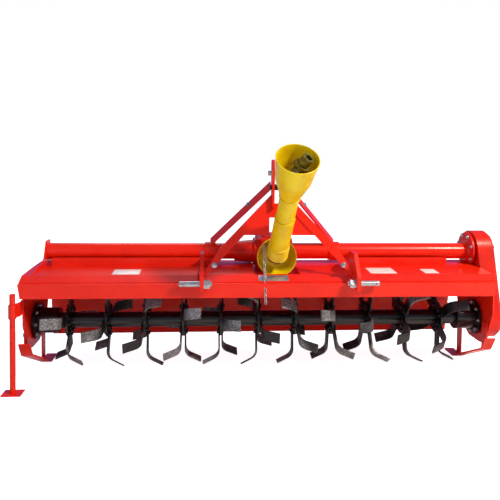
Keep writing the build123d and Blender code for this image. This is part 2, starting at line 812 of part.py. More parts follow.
skids = {}
for side, post_x, runner_x in (
    ("left", plate_left_x - 2 * plate_thickness, plate_left_x - 2 * plate_thickness),
    ("right", plate_right_x - plate_thickness, plate_right_x - skid_width),
):
    with BuildPart() as skid:
        with BuildSketch(Plane.YZ.offset(runner_x)):
            with BuildLine():
                Polyline(
                    (rotor_y + skid_toe[0], skid_toe[1]),
                    (rotor_y + skid_nose[0], skid_nose[1]),
                    (rotor_y + skid_heel[0], skid_heel[1]),
                    (rotor_y + skid_tail[0], skid_tail[1]),
                    (rotor_y + skid_tail[0], skid_tail[1] + skid_thickness),
                    (rotor_y + skid_heel[0] + 2, skid_heel[1] + skid_thickness),
                    (rotor_y + skid_nose[0] + 5, skid_nose[1] + skid_thickness),
                    (rotor_y + skid_toe[0] + 7, skid_toe[1] + 4),
                    close=True,
                )
            make_face()
        extrude(amount=skid_width)
        for post, post_front, post_rear, post_top in post_rows:
            with BuildSketch(Plane.YZ.offset(post_x)):
                with BuildLine():
                    Polyline(
                        (rotor_y + post_front, post_foot(post_front)),
                        (rotor_y + post_front, rotor_z + post_top),
                        (rotor_y + post_rear, rotor_z + post_top),
                        (rotor_y + post_rear, post_foot(post_rear)),
                        close=True,
                    )
                make_face()
            extrude(amount=plate_thickness)
    skids[side] = skid

# ---- rotor ------------------------------------------------------------------------------------------
rotor_start_x = plate_left_x + disc_to_plate
rotor_end_x = plate_right_x - disc_to_plate
with BuildPart() as rotor_tube:
    with BuildSketch(
        Plane.YZ.offset(rotor_start_x + hub_disc_thickness + hub_length)
    ):
        with Locations((rotor_y, rotor_z)):
            Circle(rotor_tube_radius)
            Circle(rotor_tube_radius - rotor_tube_wall, mode=Mode.SUBTRACT)
    extrude(
        amount=rotor_end_x
        - rotor_start_x
        - 2 * (hub_disc_thickness + hub_length)
    )

rotor_hubs = {}
for side, disc_x, sign in (
    ("left", rotor_start_x, 1),
    ("right", rotor_end_x, -1),
):
    with BuildPart() as hub:
        with BuildSketch(Plane.YZ.offset(disc_x)):
            with Locations((rotor_y, rotor_z)):
                Circle(hub_disc_radius)
        extrude(amount=sign * hub_disc_thickness)
        with BuildSketch(Plane.YZ.offset(disc_x + sign * hub_disc_thickness)):
            with Locations((rotor_y, rotor_z)):
                Circle(hub_radius)
        extrude(amount=sign * hub_length)
        with BuildSketch(Plane.YZ.offset(disc_x)):
            with Locations((rotor_y, rotor_z)):
                Circle(stub_radius)
        extrude(amount=-sign * (disc_to_plate + plate_thickness + 34))
    rotor_hubs[side] = hub

with BuildPart() as flange:
    with BuildSketch(Plane.YZ.offset(-flange_thickness / 2)):
        Circle(flange_radius)
        Circle(rotor_tube_radius + fit_gap, mode=Mode.SUBTRACT)
    extrude(amount=flange_thickness)

bend_out = blade_bend_radius * math.sin(math.radians(blade_bend_angle))
bend_over = blade_bend_radius * (1 - math.cos(math.radians(blade_bend_angle)))
leg_rise = blade_radius - 2 - blade_bend_start - bend_out
leg_over = leg_rise * math.tan(math.radians(blade_bend_angle))
outer_bend = blade_bend_radius + blade_thickness / 2
inner_bend = blade_bend_radius - blade_thickness / 2
half_bend = math.radians(blade_bend_angle / 2)
full_bend = math.radians(blade_bend_angle)
bend_centre = (blade_bend_radius, blade_bend_start)


def bend_point(radius, angle):
    """A point on the blade's bend, as axial and radial distances, angle from the shank."""
    return (
        bend_centre[0] - radius * math.cos(angle),
        bend_centre[1] + radius * math.sin(angle),
    )


def leg_tip(radius):
    """The end of the leg, off the bend's end along the leg's direction."""
    start = bend_point(radius, full_bend)
    length = math.hypot(leg_rise, leg_over)
    return (
        start[0] + length * math.sin(full_bend),
        start[1] + length * math.cos(full_bend),
    )


blade_side_plane = Plane(origin=(0, 0, 0), x_dir=(1, 0, 0), z_dir=(0, -1, 0))
with BuildPart() as blade:
    with BuildSketch(blade_side_plane):
        with BuildLine():
            Polyline(
                (-blade_thickness / 2, blade_root_radius),
                (-blade_thickness / 2, blade_bend_start),
            )
            ThreePointArc(
                (-blade_thickness / 2, blade_bend_start),
                bend_point(outer_bend, half_bend),
                bend_point(outer_bend, full_bend),
            )
            Polyline(
                bend_point(outer_bend, full_bend),
                leg_tip(outer_bend),
                leg_tip(inner_bend),
                bend_point(inner_bend, full_bend),
            )
            ThreePointArc(
                bend_point(inner_bend, full_bend),
                bend_point(inner_bend, half_bend),
                (blade_thickness / 2, blade_bend_start),
            )
            Polyline(
                (blade_thickness / 2, blade_bend_start),
                (blade_thickness / 2, blade_root_radius),
                (-blade_thickness / 2, blade_root_radius),
            )
        make_face()
    extrude(amount=blade_width / 2, both=True)

right_blade = blade.part.moved(
    Location((flange_thickness / 2 + blade_thickness / 2, 0, 0))
)
left_blade = right_blade.mirror(Plane.YZ)
blade_step = 360.0 / blades_per_flange
with BuildPart() as blade_flanges:
    for ring in range(flange_count):
        ring_x = centre_x + flange_offset + (ring - (flange_count - 1) / 2) * flange_pitch
        add(flange.part.moved(Location((ring_x, rotor_y, rotor_z))))

with BuildPart() as blades:
    for ring in range(flange_count):
        ring_x = centre_x + flange_offset + (ring - (flange_count - 1) / 2) * flange_pitch
        for number in range(blades_per_flange):
            # straight down is 180 degrees from the blade's own upright place
            turn = 180 - (first_blade_angle - ring * helix_step + number * blade_step)
            one = right_blade if number % 2 == 0 else left_blade
            add(
                one.moved(
                    Location((ring_x, rotor_y, rotor_z), (turn, 0, 0))
                )
            )

# ---- trailing board -----------------------------------------------------------------------------------
hinge_y, hinge_z = rotor_point(hood_end_angle - 4, hood_outer_radius - 2)
board_plane = Plane(
    origin=(centre_x, hinge_y, hinge_z),
    x_dir=(1, 0, 0),
    z_dir=(
        0,
        math.cos(math.radians(board_lean)),
        math.sin(math.radians(board_lean)),
    ),
)
with BuildPart() as trailing_board:
    with BuildSketch(board_plane):
        with Locations((0, board_drop / 2 + hinge_radius + 5)):
            Rectangle(hood_width - 2 * board_end_gap, board_drop)
        for offset in hinge_offsets:
            with Locations((offset, hinge_radius + 5)):
                Rectangle(knuckle_length, 16)
    extrude(amount=board_wall)
    for offset in hinge_offsets:
        with BuildSketch(Plane.YZ.offset(centre_x + offset - knuckle_length / 2)):
            with Locations((hinge_y, hinge_z)):
                Circle(hinge_radius + 3)
                Circle(hinge_pin_radius + shaft_gap, mode=Mode.SUBTRACT)
        extrude(amount=knuckle_length)

with BuildPart() as board_hinges:
    for offset in hinge_offsets:
        middle = centre_x + offset
        lug_start = knuckle_length / 2 + 2
        with BuildSketch(Plane.YZ.offset(middle - lug_start - 8)):
            with Locations((hinge_y, hinge_z)):
                Circle(hinge_pin_radius)
        extrude(amount=2 * lug_start + 16)
        for start_x in (middle - lug_start - 8, middle + lug_start):
            with BuildSketch(Plane.YZ.offset(start_x)):
                with Locations((hinge_y, hinge_z)):
                    Circle(hinge_radius + 3)
                with BuildLine():
                    ThreePointArc(
                        rotor_point(hood_end_angle + 0.2, hood_outer_radius + fit_gap),
                        rotor_point(hood_end_angle + 4, hood_outer_radius + fit_gap),
                        rotor_point(hood_end_angle + 8, hood_outer_radius + fit_gap),
                    )
                    Polyline(
                        rotor_point(hood_end_angle + 8, hood_outer_radius + fit_gap),
                        (hinge_y + 13, hinge_z),
                        (hinge_y, hinge_z),
                        rotor_point(hood_end_angle + 0.2, hood_outer_radius + fit_gap),
                    )
                make_face()
            extrude(amount=8)

# ---- drive shaft ----------------------------------------------------------------------------------------
joint_y = nose_y - joint_ahead_of_nose
rise = math.radians(shaft_rise_angle)
side_lean = math.radians(shaft_lean)
shaft_axis = (
    math.sin(side_lean),
    -math.cos(rise) * math.cos(side_lean),
    math.sin(rise) * math.cos(side_lean),
)
across_shaft = (
    math.cos(side_lean),
    math.cos(rise) * math.sin(side_lean),
    -math.sin(rise) * math.sin(side_lean),
)


def shaft_plane(distance):
    """A plane square to the drive shaft, at a distance from the inner joint's centre."""
    return Plane(
        origin=(
            hitch_x + distance * shaft_axis[0],
            joint_y + distance * shaft_axis[1],
            input_z + distance * shaft_axis[2],
        ),
        x_dir=across_shaft,
        z_dir=shaft_axis,
    )


joint_centre = Vector(hitch_x, joint_y, input_z)
across = Vector(*across_shaft)
along_shaft = Vector(*shaft_axis)
over_shaft = Vector(0, math.sin(rise), math.cos(rise))
outer_centre = joint_centre + along_shaft * outer_joint
tilt = math.radians(yoke_tilt)
along_yoke = along_shaft * math.cos(tilt) + across * math.sin(tilt)
across_yoke = across * math.cos(tilt) - along_shaft * math.sin(tilt)


def ear_sketch_plane(centre, ears_along, towards_hub, distance):
    """A plane square to the ears' line, whose local X runs from the joint to the hub."""
    return Plane(
        origin=centre + ears_along * distance, x_dir=towards_hub, z_dir=ears_along
    )


def yoke_ears(centre, ears_along, towards_hub):
    """Two ears with trunnion holes."""
    with BuildPart() as ears:
        for sign in (-1, 1):
            outward = ears_along * sign
            with BuildSketch(ear_sketch_plane(centre, outward, towards_hub, ear_inner)):
                Circle(ear_half_width)
                with Locations((ear_reach / 2, 0)):
                    Rectangle(ear_reach, 2 * ear_half_width)
                Circle(trunnion_radius + shaft_gap, mode=Mode.SUBTRACT)
            extrude(amount=ear_outer - ear_inner)
    return ears.part


def joint_cross(centre, first, second):
    """A block with trunnions along two directions."""
    with BuildPart() as cross:
        with BuildSketch(
            Plane(origin=centre - first * joint_block, x_dir=second, z_dir=first)
        ):
            Rectangle(2 * joint_block, 2 * joint_block)
        extrude(amount=2 * joint_block)
        for direction, other in ((first, second), (second, first)):
            with BuildSketch(
                Plane(origin=centre - direction * ear_outer, x_dir=other, z_dir=direction)
            ):
                Circle(trunnion_radius)
            extrude(amount=2 * ear_outer)
    return cross.part


with BuildPart() as input_yoke:
    to_gearbox = Vector(0, 1, 0)
    to_gearbox = (to_gearbox - across * across.dot(to_gearbox)).normalized()
    add(yoke_ears(joint_centre, across, to_gearbox))
    with BuildSketch(input_plane.offset(joint_ahead_of_nose - ear_reach + 3)):
        Circle(ear_outer + 2)
    extrude(amount=-(joint_ahead_of_nose - ear_reach + 3))

with BuildPart() as inner_cross:
    add(joint_cross(joint_centre, across, over_shaft))

with BuildPart() as inner_yoke:
    add(yoke_ears(joint_centre, over_shaft, along_shaft))
    with BuildSketch(shaft_plane(ear_reach)):
        Circle(ear_outer + 1)
    extrude(amount=14)
    with BuildSketch(shaft_plane(ear_reach)):
        Circle(inner_shaft_radius)
    extrude(amount=inner_shaft_end - ear_reach)

with BuildPart() as inner_shield:
    with BuildSketch(shaft_plane(ear_reach + 14)):
        Circle(shield_radius)
        Circle(inner_shaft_radius + fit_gap, mode=Mode.SUBTRACT)
    extrude(amount=6)
    with BuildSketch(shaft_plane(ear_reach + 20)):
        Circle(shield_radius)
        Circle(shield_bore_radius, mode=Mode.SUBTRACT)
    extrude(amount=shield_joint - ear_reach - 20)

with BuildPart() as outer_yoke:
    add(yoke_ears(outer_centre, over_shaft, -along_shaft))
    with BuildSketch(shaft_plane(outer_joint - ear_reach)):
        Circle(ear_outer + 1)
        Circle(inner_shaft_radius + shaft_gap, mode=Mode.SUBTRACT)
    extrude(amount=-14)
    with BuildSketch(shaft_plane(outer_joint - ear_reach)):
        Circle(outer_shaft_radius)
        Circle(inner_shaft_radius + shaft_gap, mode=Mode.SUBTRACT)
    extrude(amount=-(outer_joint - ear_reach - outer_shaft_start))

cone_start = bell_profile[0][1]
with BuildPart() as outer_shield:
    with BuildSketch(shaft_plane(outer_shield_start)):
        Circle(outer_shield_radius)
        Circle(outer_shield_radius - shield_wall, mode=Mode.SUBTRACT)
    extrude(amount=cone_start - outer_shield_start)
    cone_plane = Plane(origin=joint_centre, x_dir=across, z_dir=over_shaft)
    with BuildSketch(cone_plane):
        with BuildLine():
            Polyline(
                *[(radius, -distance) for radius, distance in bell_profile],
                *[
                    (radius - shield_wall, -distance)
                    for radius, distance in reversed(bell_profile)
                ],
                close=True,
            )
        make_face()
    revolve(axis=Axis(joint_centre, along_shaft))

with BuildPart() as outer_cross:
    add(joint_cross(outer_centre, over_shaft, across_yoke))

with BuildPart() as tractor_yoke:
    add(yoke_ears(outer_centre, across_yoke, along_yoke))
    yoke_plane = Plane(
        origin=outer_centre + along_yoke * ear_reach, x_dir=across_yoke, z_dir=along_yoke
    )
    with BuildSketch(yoke_plane):
        Circle(ear_outer + 1)
        Circle(spline_bore_radius, mode=Mode.SUBTRACT)
    extrude(amount=14)
    with BuildSketch(yoke_plane):
        Circle(29)
        Circle(spline_bore_radius, mode=Mode.SUBTRACT)
    extrude(amount=yoke_length)

# ---- export -----------------------------------------------------------------------------------------------
nodes = {
    "front_beam": front_beam,
    "hood_deck": hood_deck,
    "left_side_plate": side_plates["left"],
    "right_side_plate": side_plates["right"],
    "left_cross_tube": cross_tubes["left"],
    "right_cross_tube": cross_tubes["right"],
    "ridge_angle": ridge_angle,
    "gearbox": gearbox,
    "gearbox_lid": gearbox_lid,
    "guard_cup": guard_cup,
    "gear_case": gear_case,
    "gear_case_lid": gear_case_lid,
    "bearing_housing": bearing_housing,
    "left_hitch_plate": hitch_plates["left"],
    "right_hitch_plate": hitch_plates["right"],
    "left_lower_pin": lower_pins["left"],
    "right_lower_pin": lower_pins["right"],
    "left_mast_plate": mast_plates["left"],
    "right_mast_plate": mast_plates["right"],
    "top_link_pin": top_link_pin,
    "mast_spacer": mast_spacer,
    "left_front_strut": front_struts["left"],
    "right_front_strut": front_struts["right"],
    "left_rear_strut": rear_struts["left"],
    "right_rear_strut": rear_struts["right"],
    "headstock_web": headstock_web,
    "strut_feet": strut_feet,
    "tube_end_plate": tube_end_plate,
    "stand_bracket": stand_bracket,
    "parking_stand": parking_stand,
    "left_skid": skids["left"],
    "right_skid": skids["right"],
    "rotor_tube": rotor_tube,
    "left_rotor_hub": rotor_hubs["left"],
    "right_rotor_hub": rotor_hubs["right"],
    "blade_flanges": blade_flanges,
    "blades": blades,
    "trailing_board": trailing_board,
    "board_hinges": board_hinges,
    "gearbox_well": gearbox_well,
    "input_yoke": input_yoke,
    "inner_cross": inner_cross,
    "inner_yoke": inner_yoke,
    "inner_shield": inner_shield,
    "outer_yoke": outer_yoke,
    "outer_shield": outer_shield,
    "outer_cross": outer_cross,
    "tractor_yoke": tractor_yoke,
}
for name, piece in nodes.items():
    piece.part.label = name
    export_step(piece.part, f"parts/{name}.step")
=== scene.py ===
"""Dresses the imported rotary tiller: a finish for every CAD node, and the fasteners, weld
beads, blank plates, chains and guard details that the solids leave out.

Sizes are in millimetres. Places are measured from the rotor axis at the middle of the beam:
x towards the side gear case, y away from the tractor, z up.
"""
import json
import logging
import math
from dataclasses import dataclass
from enum import Enum
from typing import Iterable, Sequence

import bmesh
import bpy
from mathutils import Matrix, Vector


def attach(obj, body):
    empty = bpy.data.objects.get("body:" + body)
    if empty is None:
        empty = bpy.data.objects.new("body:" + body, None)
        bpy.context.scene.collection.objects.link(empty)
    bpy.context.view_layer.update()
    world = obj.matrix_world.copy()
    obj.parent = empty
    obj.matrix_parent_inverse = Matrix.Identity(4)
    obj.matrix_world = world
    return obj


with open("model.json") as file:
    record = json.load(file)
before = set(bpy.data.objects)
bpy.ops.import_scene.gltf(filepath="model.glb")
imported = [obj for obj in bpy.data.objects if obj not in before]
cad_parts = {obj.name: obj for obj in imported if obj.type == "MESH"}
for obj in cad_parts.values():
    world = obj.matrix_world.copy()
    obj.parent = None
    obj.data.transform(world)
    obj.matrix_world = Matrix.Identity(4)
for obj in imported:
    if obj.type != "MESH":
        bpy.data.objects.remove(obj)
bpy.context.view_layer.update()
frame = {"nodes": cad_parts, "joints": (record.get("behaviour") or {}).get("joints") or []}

MM = 0.001
LOG = logging.getLogger("tiller")
Place = tuple[float, float, float]


class Body(Enum):
    """The moving bodies that pieces ride on."""

    FRAME = "frame"
    STAND = "stand"
    ROTOR = "rotor"
    BOARD = "board"
    INNER_SHAFT = "inner_shaft"
    OUTER_SHAFT = "outer_shaft"
    COUPLER = "coupler"


# ---- where things are -------------------------------------------------------------------------
def joint(name: str) -> dict:
    """The record's joint of that name."""
    return next(j for j in frame["joints"] if j["name"] == name)


ORIGIN = Vector(joint("rotor_spin")["pos_m"])
JOINT_CENTRE = Vector(joint("shaft_swing")["pos_m"])
SHAFT_ALONG = Vector(joint("shaft_telescope")["axis"]).normalized()
SHAFT_ACROSS = Vector(joint("shaft_swing")["axis"]).normalized()
HITCH_X = (JOINT_CENTRE.x - ORIGIN.x) / MM


def at(x: float, y: float, z: float) -> Vector:
    """A point in metres from millimetres off the rotor axis and the middle of the beam."""
    return ORIGIN + Vector((x, y, z)) * MM


def on_shaft(distance: float) -> Vector:
    """A point on the drive shaft, that many millimetres from the inner joint."""
    return JOINT_CENTRE + SHAFT_ALONG * distance * MM


# ---- finishes ---------------------------------------------------------------------------------
def linear(code: str, alpha: float = 1.0) -> tuple[float, float, float, float]:
    """Turns an sRGB hex colour to linear values.

    Args:
        code: the colour, such as "#E62A18".
        alpha: the fourth value.

    Returns:
        Four linear values.
    """
    parts = [int(code[i : i + 2], 16) / 255 for i in (1, 3, 5)]
    turned = [c / 12.92 if c <= 0.04045 else ((c + 0.055) / 1.055) ** 2.4 for c in parts]
    return (*turned, alpha)


def per_metre(size: float) -> float:
    """The texture scale whose features are that many millimetres across."""
    return 1 / (size * MM)


def add_node(
    tree: bpy.types.NodeTree,
    kind: str,
    settings: dict | None = None,
    links: dict | None = None,
) -> bpy.types.Node:
    """Adds one node.

    Args:
        tree: the node tree.
        kind: the node's type name.
        settings: values by input name, input number or property name.
        links: sockets that feed inputs, by input name or number.

    Returns:
        The new node.
    """
    node = tree.nodes.new(kind)
    for key, value in (settings or {}).items():
        if isinstance(key, int) or key in node.inputs:
            node.inputs[key].default_value = value
        else:
            setattr(node, key, value)
    for key, socket in (links or {}).items():
        tree.links.new(socket, node.inputs[key])
    return node


def start_material(name: str, settings: dict) -> tuple:
    """Starts a material with one Principled shader.

    Args:
        name: the finish's name.
        settings: the shader's constant inputs.

    Returns:
        The material, its tree, its shader and the Object coordinates socket.
    """
    material = bpy.data.materials.new(name)
    material.use_nodes = True
    tree = material.node_tree
    tree.nodes.clear()
    shader = add_node(tree, "ShaderNodeBsdfPrincipled", settings)
    add_node(tree, "ShaderNodeOutputMaterial", links={"Surface": shader.outputs[0]})
    coords = add_node(tree, "ShaderNodeTexCoord").outputs["Object"]
    return material, tree, shader, coords


@dataclass(frozen=True)
class Finish:
    """What all finishes share: a name, the record's slot, two colours and a grain."""

    name: str
    slot: str
    colour: str
    second: str
    roughness: float
    metallic: float = 0.0
    coat: float = 0.0
    coat_roughness: float = 0.1
    specular: float = 0.5
    patch_mm: float = 220.0
    patch_low: float = 0.42
    patch_high: float = 0.66
    grain_mm: float = 3.0
    grain_lift: float = 0.0001
    roughness_spread: float = 0.08

    def material(self) -> bpy.types.Material:
        """Builds the material: colour patches, uneven gloss and a fine bump."""
        material, tree, shader, coords = start_material(
            self.name,
            {
                "Metallic": self.metallic,
                "Coat Weight": self.coat,
                "Coat Roughness": self.coat_roughness,
                "Specular IOR Level": self.specular,
            },
        )
        patches = add_node(
            tree,
            "ShaderNodeTexNoise",
            {"Scale": per_metre(self.patch_mm), "Detail": 4.0, "Roughness": 0.6},
            {"Vector": coords},
        )
        ramp = add_node(tree, "ShaderNodeValToRGB", links={"Fac": patches.outputs[0]})
        ramp.color_ramp.elements[0].position = self.patch_low
        ramp.color_ramp.elements[0].color = linear(self.colour)
        ramp.color_ramp.elements[1].position = self.patch_high
        ramp.color_ramp.elements[1].color = linear(self.second)
        tree.links.new(ramp.outputs[0], shader.inputs["Base Color"])
        gloss = add_node(
            tree,
            "ShaderNodeMapRange",
            {
                "To Min": self.roughness - self.roughness_spread,
                "To Max": self.roughness + self.roughness_spread,
            },
            {"Value": patches.outputs[0]},
        )
        tree.links.new(gloss.outputs[0], shader.inputs["Roughness"])
        grain = add_node(
            tree,
            "ShaderNodeTexNoise",
            {"Scale": per_metre(self.grain_mm), "Detail": 3.0},
            {"Vector": coords},
        )
        bump = add_node(
            tree,
            "ShaderNodeBump",
            {"Strength": 0.5, "Distance": self.grain_lift},
            {"Height": grain.outputs[0]},
        )
        tree.links.new(bump.outputs[0], shader.inputs["Normal"])
        return material


@dataclass(frozen=True)
class SpeckledBlade(Finish):
    """Forged blades dipped in black: the shanks stay black, and the legs are speckled grey, which is
    painted sunlight on the black paint with dust speckle, in patches where the legs stay nearly black.
    """

    black: str = "#0C0C0E"
    # near-white flecks among the speckle: painted glints
    light: str = "#D2D3D4"
    # from this reach outwards the legs turn speckled grey: painted sunlight on the black paint, with dust
    # speckle
    leg_start: float = 150.0
    leg_full: float = 176.0
    # patches of painted sunlight: where the noise is low, a leg keeps nearly its black paint
    sunlit_low: float = 0.4
    sunlit_high: float = 0.58
    least_sunlit: float = 0.08

    def material(self) -> bpy.types.Material:
        """Builds the material: black near the rotor axis, and past the bend speckled grey, which is painted
        sunlight with dust speckle and painted glints, in patches.
        """
        material, tree, shader, coords = start_material(
            self.name, {"Metallic": self.metallic, "Roughness": self.roughness}
        )
        radial = add_node(
            tree,
            "ShaderNodeMapping",
            {"Location": (0, -ORIGIN.y, -ORIGIN.z), "Scale": (0, 1, 1)},
            {"Vector": coords},
        )
        reach = add_node(
            tree, "ShaderNodeVectorMath", {"operation": "LENGTH"}, {0: radial.outputs[0]}
        )
        leg = add_node(
            tree,
            "ShaderNodeMapRange",
            {"From Min": self.leg_start * MM, "From Max": self.leg_full * MM},
            {"Value": reach.outputs["Value"]},
        )
        speckle = add_node(
            tree,
            "ShaderNodeTexNoise",
            {"Scale": per_metre(self.grain_mm), "Detail": 6.0, "Roughness": 0.75},
            {"Vector": coords},
        )
        # speckled grey of the legs: painted sunlight with dust speckle, and pale flecks that are painted
        # glints
        grey = add_node(tree, "ShaderNodeValToRGB", links={"Fac": speckle.outputs[0]})
        grey.color_ramp.elements[0].position = 0.34
        grey.color_ramp.elements[0].color = linear(self.second)
        grey.color_ramp.elements[1].position = 0.56
        grey.color_ramp.elements[1].color = linear(self.colour)
        painted_glint = grey.color_ramp.elements.new(0.7)
        painted_glint.color = linear(self.light)
        # patches of painted sunlight over the legs; elsewhere they stay nearly black
        sunlit_patches = add_node(
            tree,
            "ShaderNodeTexNoise",
            {"Scale": per_metre(self.patch_mm), "Detail": 1.0},
            {"Vector": coords},
        )
        sunlit_share = add_node(
            tree,
            "ShaderNodeMapRange",
            {"From Min": self.sunlit_low, "From Max": self.sunlit_high, "To Min": self.least_sunlit},
            {"Value": sunlit_patches.outputs[0]},
        )
        share = add_node(
            tree, "ShaderNodeMath", {"operation": "MULTIPLY"}, {0: leg.outputs[0], 1: sunlit_share.outputs[0]}
        )
        colour = add_node(
            tree,
            "ShaderNodeMix",
            {"data_type": "RGBA", 6: linear(self.black)},
            {0: share.outputs[0], 7: grey.outputs[0]},
        )
        tree.links.new(colour.outputs[2], shader.inputs["Base Color"])
        bump = add_node(
            tree,
            "ShaderNodeBump",
            {"Strength": 0.6, "Distance": self.grain_lift},
            {"Height": speckle.outputs[0]},
        )
        tree.links.new(bump.outputs[0], shader.inputs["Normal"])
        return material


# orange-red stove enamel on sheet steel: glossy, with a faint orange peel
ENAMEL = Finish("stove_enamel", "enamel", "#F0260A", "#E61F08", 0.3, coat=0.15, specular=0.26, grain_mm=5)
# the same enamel over castings: duller and rougher where the sand left its grain
CAST_ENAMEL = Finish(
    "enamel_on_casting", "enamel", "#E02009", "#BC1505", 0.38, coat=0.1, specular=0.26, grain_mm=6,
    grain_lift=0.0004,
)
# black chassis enamel: deep, satin, a little dusty
BLACK = Finish(
    "black_enamel", "black_enamel", "#060608", "#101013", 0.3, coat=0.2, patch_mm=60, grain_mm=4
)
# bright zinc plate on turned steel: pale, with cloudy patches
ZINC = Finish(
    "bright_zinc", "zinc", "#C9CCD0", "#A6A9AE", 0.3, metallic=0.9, patch_mm=14, grain_mm=1.5
)
# bare machined steel: grey with darker oil stains
BARE = Finish(
    "machined_steel", "bare_steel", "#8D8F92", "#5C5D60", 0.38, metallic=0.9, patch_mm=25, grain_mm=2
)
# forged and oiled steel of the joints: olive-yellow, with darker olive patches
FORGED = Finish(
    "forged_steel", "joint_steel", "#8A7E2E", "#4A431C", 0.42, metallic=0.5, patch_mm=18, grain_mm=3,
    grain_lift=0.0004,
)
# moulded polyethylene guard: saturated yellow, soft gloss
GUARD = Finish(
    "moulded_guard", "guard_plastic", "#FADF0A", "#EFC806", 0.36, coat=0.08, patch_mm=120, grain_mm=4
)
# printed vinyl left blank: white with a faint warm cast
BLANK_LABEL = Finish("blank_vinyl", "enamel", "#EFEDEA", "#DEDAD6", 0.4, patch_mm=60, grain_mm=3)
# brushed aluminium plate left blank
BLANK_PLATE = Finish(
    "blank_aluminium", "zinc", "#B9C3D6", "#94A1BA", 0.34, metallic=0.8, patch_mm=40, grain_mm=1
)
# forged blades: black shanks, and legs in speckled grey that is painted sunlight with dust speckle
BLADE = SpeckledBlade(
    "speckled_blade", "blade_steel", "#8A8B8D", "#1D1D1F", 0.42, metallic=0.3, patch_mm=190, grain_mm=9,
    grain_lift=0.0006,
)

MATERIALS: dict[str, bpy.types.Material] = {}


def dress(target: bpy.types.Object, finish: Finish) -> None:
    """Gives an object one finish over all its faces."""
    if finish.name not in MATERIALS:
        MATERIALS[finish.name] = finish.material()
    target.data.materials.clear()
    target.data.materials.append(MATERIALS[finish.name])


# ---- modelling helpers ------------------------------------------------------------------------
def select_only(target: bpy.types.Object) -> None:
    """Selects one object and makes it active."""
    bpy.ops.object.select_all(action="DESELECT")
    target.select_set(True)
    bpy.context.view_layer.objects.active = target


def settle(target: bpy.types.Object) -> bpy.types.Object:
    """Moves an object's place into its mesh, so that it sits at the origin."""
    select_only(target)
    bpy.ops.object.transform_apply(location=True, rotation=True, scale=True)
    return target


def soften(target: bpy.types.Object, width: float, segments: int = 2) -> bpy.types.Object:
    """Rounds an object's sharp edges by a bevel that is applied.

    Args:
        target: the object.
        width: the bevel's width in millimetres.
        segments: how many facets it has.

    Returns:
        The same object.
    """
    select_only(target)
    bevel = target.modifiers.new("bevel", "BEVEL")
    bevel.width = width * MM
    bevel.segments = segments
    bevel.limit_method = "ANGLE"
    bpy.ops.object.modifier_apply(modifier=bevel.name)
    bpy.ops.object.shade_smooth_by_angle(angle=math.radians(35))
    return target


def turned(
    radius: float, length: float, centre: Vector, along: Vector, sides: int = 32, edge: float = 1.0
) -> bpy.types.Object:
    """A turned rod with rounded ends, or a prism where it has few sides.

    Args:
        radius: its radius in millimetres.
        length: its length in millimetres.
        centre: its middle in metres.
        along: its direction.
        sides: how many sides it has.
        edge: the bevel of its edges in millimetres.

    Returns:
        The new object.
    """
    bpy.ops.object.select_all(action="DESELECT")
    bpy.ops.mesh.primitive_cylinder_add(
        vertices=sides,
        radius=radius * MM,
        depth=length * MM,
        location=centre,
        rotation=along.to_track_quat("Z", "Y").to_euler(),
    )
    return soften(settle(bpy.context.object), edge)


def bar(start: Vector, end: Vector, width: float, thickness: float, facing: Vector) -> bpy.types.Object:
    """A flat bar between two points, with rounded edges.

    Args:
        start: one end in metres.
        end: the other end in metres.
        width: across the bar in millimetres.
        thickness: in millimetres.
        facing: the way its flat side looks.

    Returns:
        The new object.
    """
    along = (end - start).normalized()
    normal = (facing - along * facing.dot(along)).normalized()
    side = normal.cross(along)
    bpy.ops.object.select_all(action="DESELECT")
    bpy.ops.mesh.primitive_cube_add(size=1)
    made = bpy.context.object
    spread = Matrix((along, side, normal)).transposed().to_4x4()
    sizes = Matrix.Diagonal(((end - start).length, width * MM, thickness * MM, 1))
    made.data.transform(Matrix.Translation((start + end) / 2) @ spread @ sizes)
    return soften(made, min(thickness / 3, 1.5))


def ring(
    major: float, minor: float, centre: Vector, along: Vector, around: int = 40, across: int = 10
) -> bpy.types.Object:
    """A round bead bent to a ring.

    Args:
        major: the ring's radius in millimetres.
        minor: the bead's radius in millimetres.
        centre: its middle in metres.
        along: its axis.
        around: segments round the ring.
        across: segments round the bead.

    Returns:
        The new object.
    """
    bpy.ops.object.select_all(action="DESELECT")
    bpy.ops.mesh.primitive_torus_add(
        major_radius=major * MM,
        minor_radius=minor * MM,
        major_segments=around,
        minor_segments=across,
        location=centre,
        rotation=along.to_track_quat("Z", "Y").to_euler(),
    )
    made = settle(bpy.context.object)
    bpy.ops.object.shade_smooth()
    return made


def lathe(
    profile: Sequence[tuple[float, float]], start: Vector, along: Vector, around: int = 56
) -> bpy.types.Object:
    """A shell turned about an axis.

    Args:
        profile: distance along the axis and radius, in millimetres, from one end to the other.
        start: where distance 0 lies, in metres.
        along: the axis.
        around: segments round the axis.

    Returns:
        The new object.
    """
    mesh = bmesh.new()
    rows = []
    for distance, radius in profile:
        row = []
        for step in range(around):
            turn = math.tau * step / around
            corner = Vector((radius * math.cos(turn), radius * math.sin(turn), distance))
            row.append(mesh.verts.new(corner * MM))
        rows.append(row)
    for low, high in zip(rows, rows[1:]):
        for step in range(around):
            after = (step + 1) % around
            mesh.faces.new((low[step], low[after], high[after], high[step]))
    bmesh.ops.recalc_face_normals(mesh, faces=mesh.faces)
    data = bpy.data.meshes.new("shell")
    mesh.to_mesh(data)
    mesh.free()
    data.transform(aim(start, along))
    made = bpy.data.objects.new("shell", data)
    bpy.context.scene.collection.objects.link(made)
    select_only(made)
    bpy.ops.object.shade_smooth()
    return made


